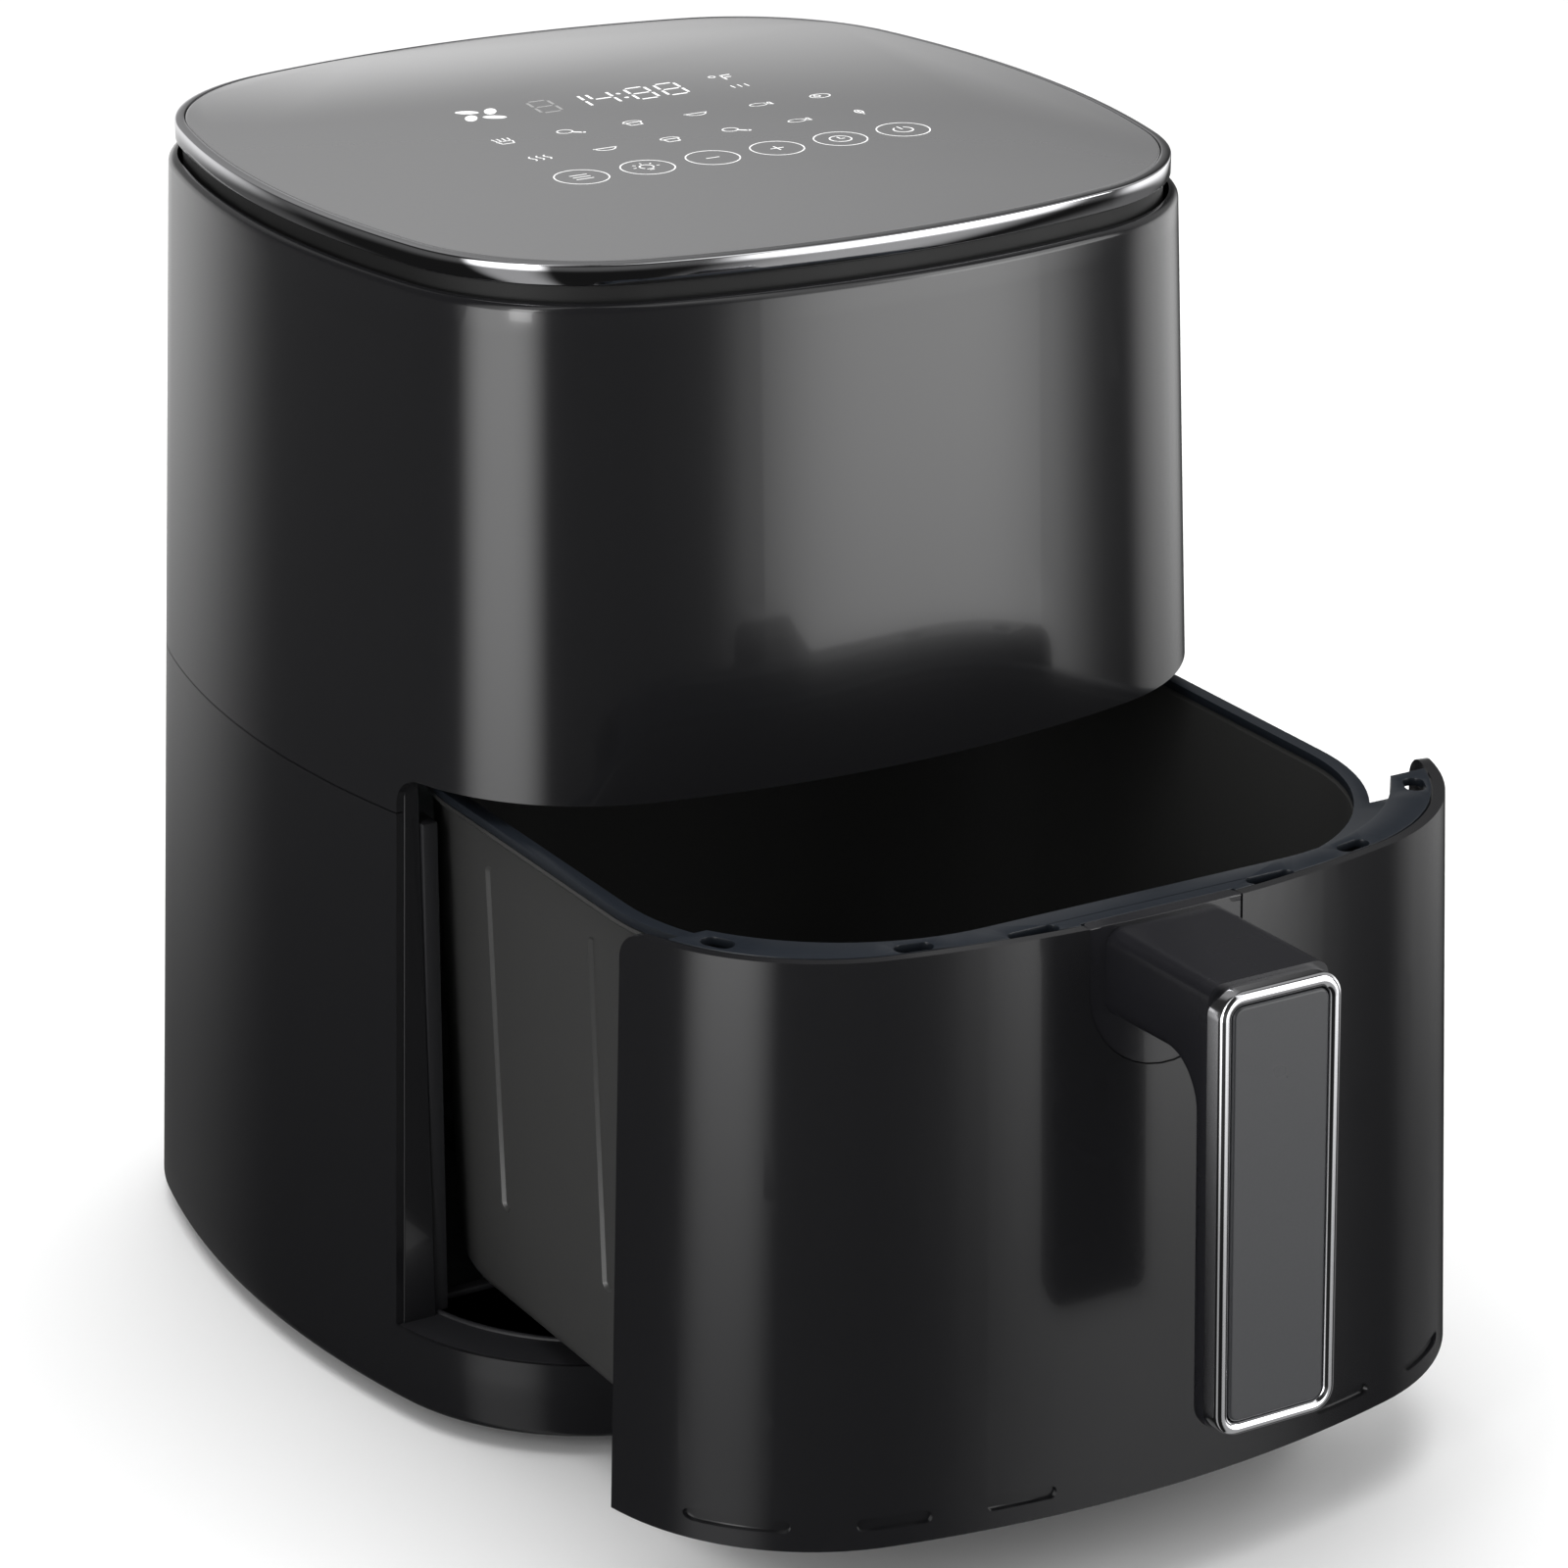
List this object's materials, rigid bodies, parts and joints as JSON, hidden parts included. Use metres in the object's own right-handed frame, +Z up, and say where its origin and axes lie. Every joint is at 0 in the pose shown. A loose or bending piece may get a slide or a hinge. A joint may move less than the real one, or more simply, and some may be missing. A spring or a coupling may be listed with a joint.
{
  "type": "air fryer",
  "caption": "Tabletop drawer air fryer with tapered rounded body, touch glass top in a bright band, pull-out tub with lift-out crisper plate and upright framed handle.",
  "frame": {"origin": "middle of the body's footprint on the table, at the level of the feet's undersides", "axes": "+Z up, the drawer opens towards -Y, +X to the right of a viewer who faces the drawer"},
  "size_m": [0.27, 0.4337, 0.324],
  "materials": {
    "gloss_black": "gloss",
    "pad_black": "gloss",
    "grip_black": "satin",
    "bright_band": "polished",
    "bright_frame": "polished",
    "inlay_grey": "satin",
    "smoked_glass": "gloss",
    "groove_black": "matte",
    "ring_plastic": "satin",
    "coated_tub": "satin non-stick",
    "coated_plate": "satin non-stick",
    "plate_rubber": "matte",
    "foot_rubber": "matte",
    "base_plastic": "matte",
    "switch_plastic": "matte",
    "plunger_plastic": "satin",
    "pan_steel": "brushed",
    "guard_steel": "bright wire",
    "bracket_steel": "plated",
    "screw_steel": "plated",
    "shaft_steel": "ground",
    "heater_tube": "dark oxide",
    "ceramic_white": "matte ceramic",
    "fan_aluminium": "satin",
    "bronze": "sintered",
    "copper_wire": "enamelled",
    "spring_metal": "bright",
    "board_green": "satin",
    "display_white": "matte"
  },
  "bodies": {
    "housing": {"upper_housing": "gloss_black", "lower_housing": "gloss_black", "chrome_band": "bright_band", "top_glass": "smoked_glass", "top_frame": "groove_black", "board_tray": "groove_black", "control_board": "board_green", "display_module": "display_white", "touch_springs": "spring_metal", "inner_deck": "base_plastic", "reflector_pan": "pan_steel", "heating_tube": "heater_tube", "heater_bushes": "ceramic_white", "heater_guard": "guard_steel", "chamber_liner": "pan_steel", "chamber_floor": "pan_steel", "chamber_posts": "base_plastic", "guide_rails": "base_plastic", "motor_core": "shaft_steel", "motor_coils": "copper_wire", "lower_bracket": "bracket_steel", "upper_bracket": "bracket_steel", "lower_bush": "bronze", "upper_bush": "bronze", "motor_bolts": "screw_steel", "power_board": "board_green", "thermal_cutout": "ceramic_white", "temperature_probe": "shaft_steel", "exhaust_duct": "base_plastic", "rear_vent": "base_plastic", "drawer_switch": "switch_plastic", "bottom_plate": "base_plastic", "feet": "foot_rubber", "base_screws": "screw_steel", "cord_inlet": "base_plastic"},
    "fan": {"motor_shaft": "shaft_steel", "motor_rotor": "shaft_steel", "air_fan": "fan_aluminium", "fan_nut": "screw_steel", "cooling_fan": "base_plastic"},
    "plunger": {"switch_plunger": "plunger_plastic"},
    "drawer": {"drawer_front": "gloss_black", "drawer_ring": "ring_plastic", "drawer_inner_panel": "ring_plastic", "drawer_tub": "coated_tub", "tub_studs": "coated_tub", "tub_screws": "screw_steel", "handle_pad": "pad_black", "handle_body": "grip_black", "handle_frame": "bright_frame", "handle_inlay": "inlay_grey", "handle_screws": "screw_steel"},
    "plate": {"crisper_plate": "coated_plate", "plate_feet": "plate_rubber"}
  },
  "joints": [
    {"name": "drawer_slide", "type": "slide", "parent": "housing", "child": "drawer", "axis": [0, -1, 0], "range_m": [-0.1173, 0.13]},
    {"name": "plate_lift", "type": "slide", "parent": "drawer", "child": "plate", "axis": [0, 0, 1], "range_m": [0, 0.12]},
    {"name": "fan_spin", "type": "hinge", "parent": "housing", "child": "fan", "pos_m": [0, 0, 0.23], "axis": [0, 0, 1], "continuous": true},
    {"name": "switch_press", "type": "slide", "parent": "housing", "child": "plunger", "axis": [0, 1, 0], "range_m": [0, 0.002], "stiffness_N_per_m": 300, "springref_m": -0.001}
  ]
}
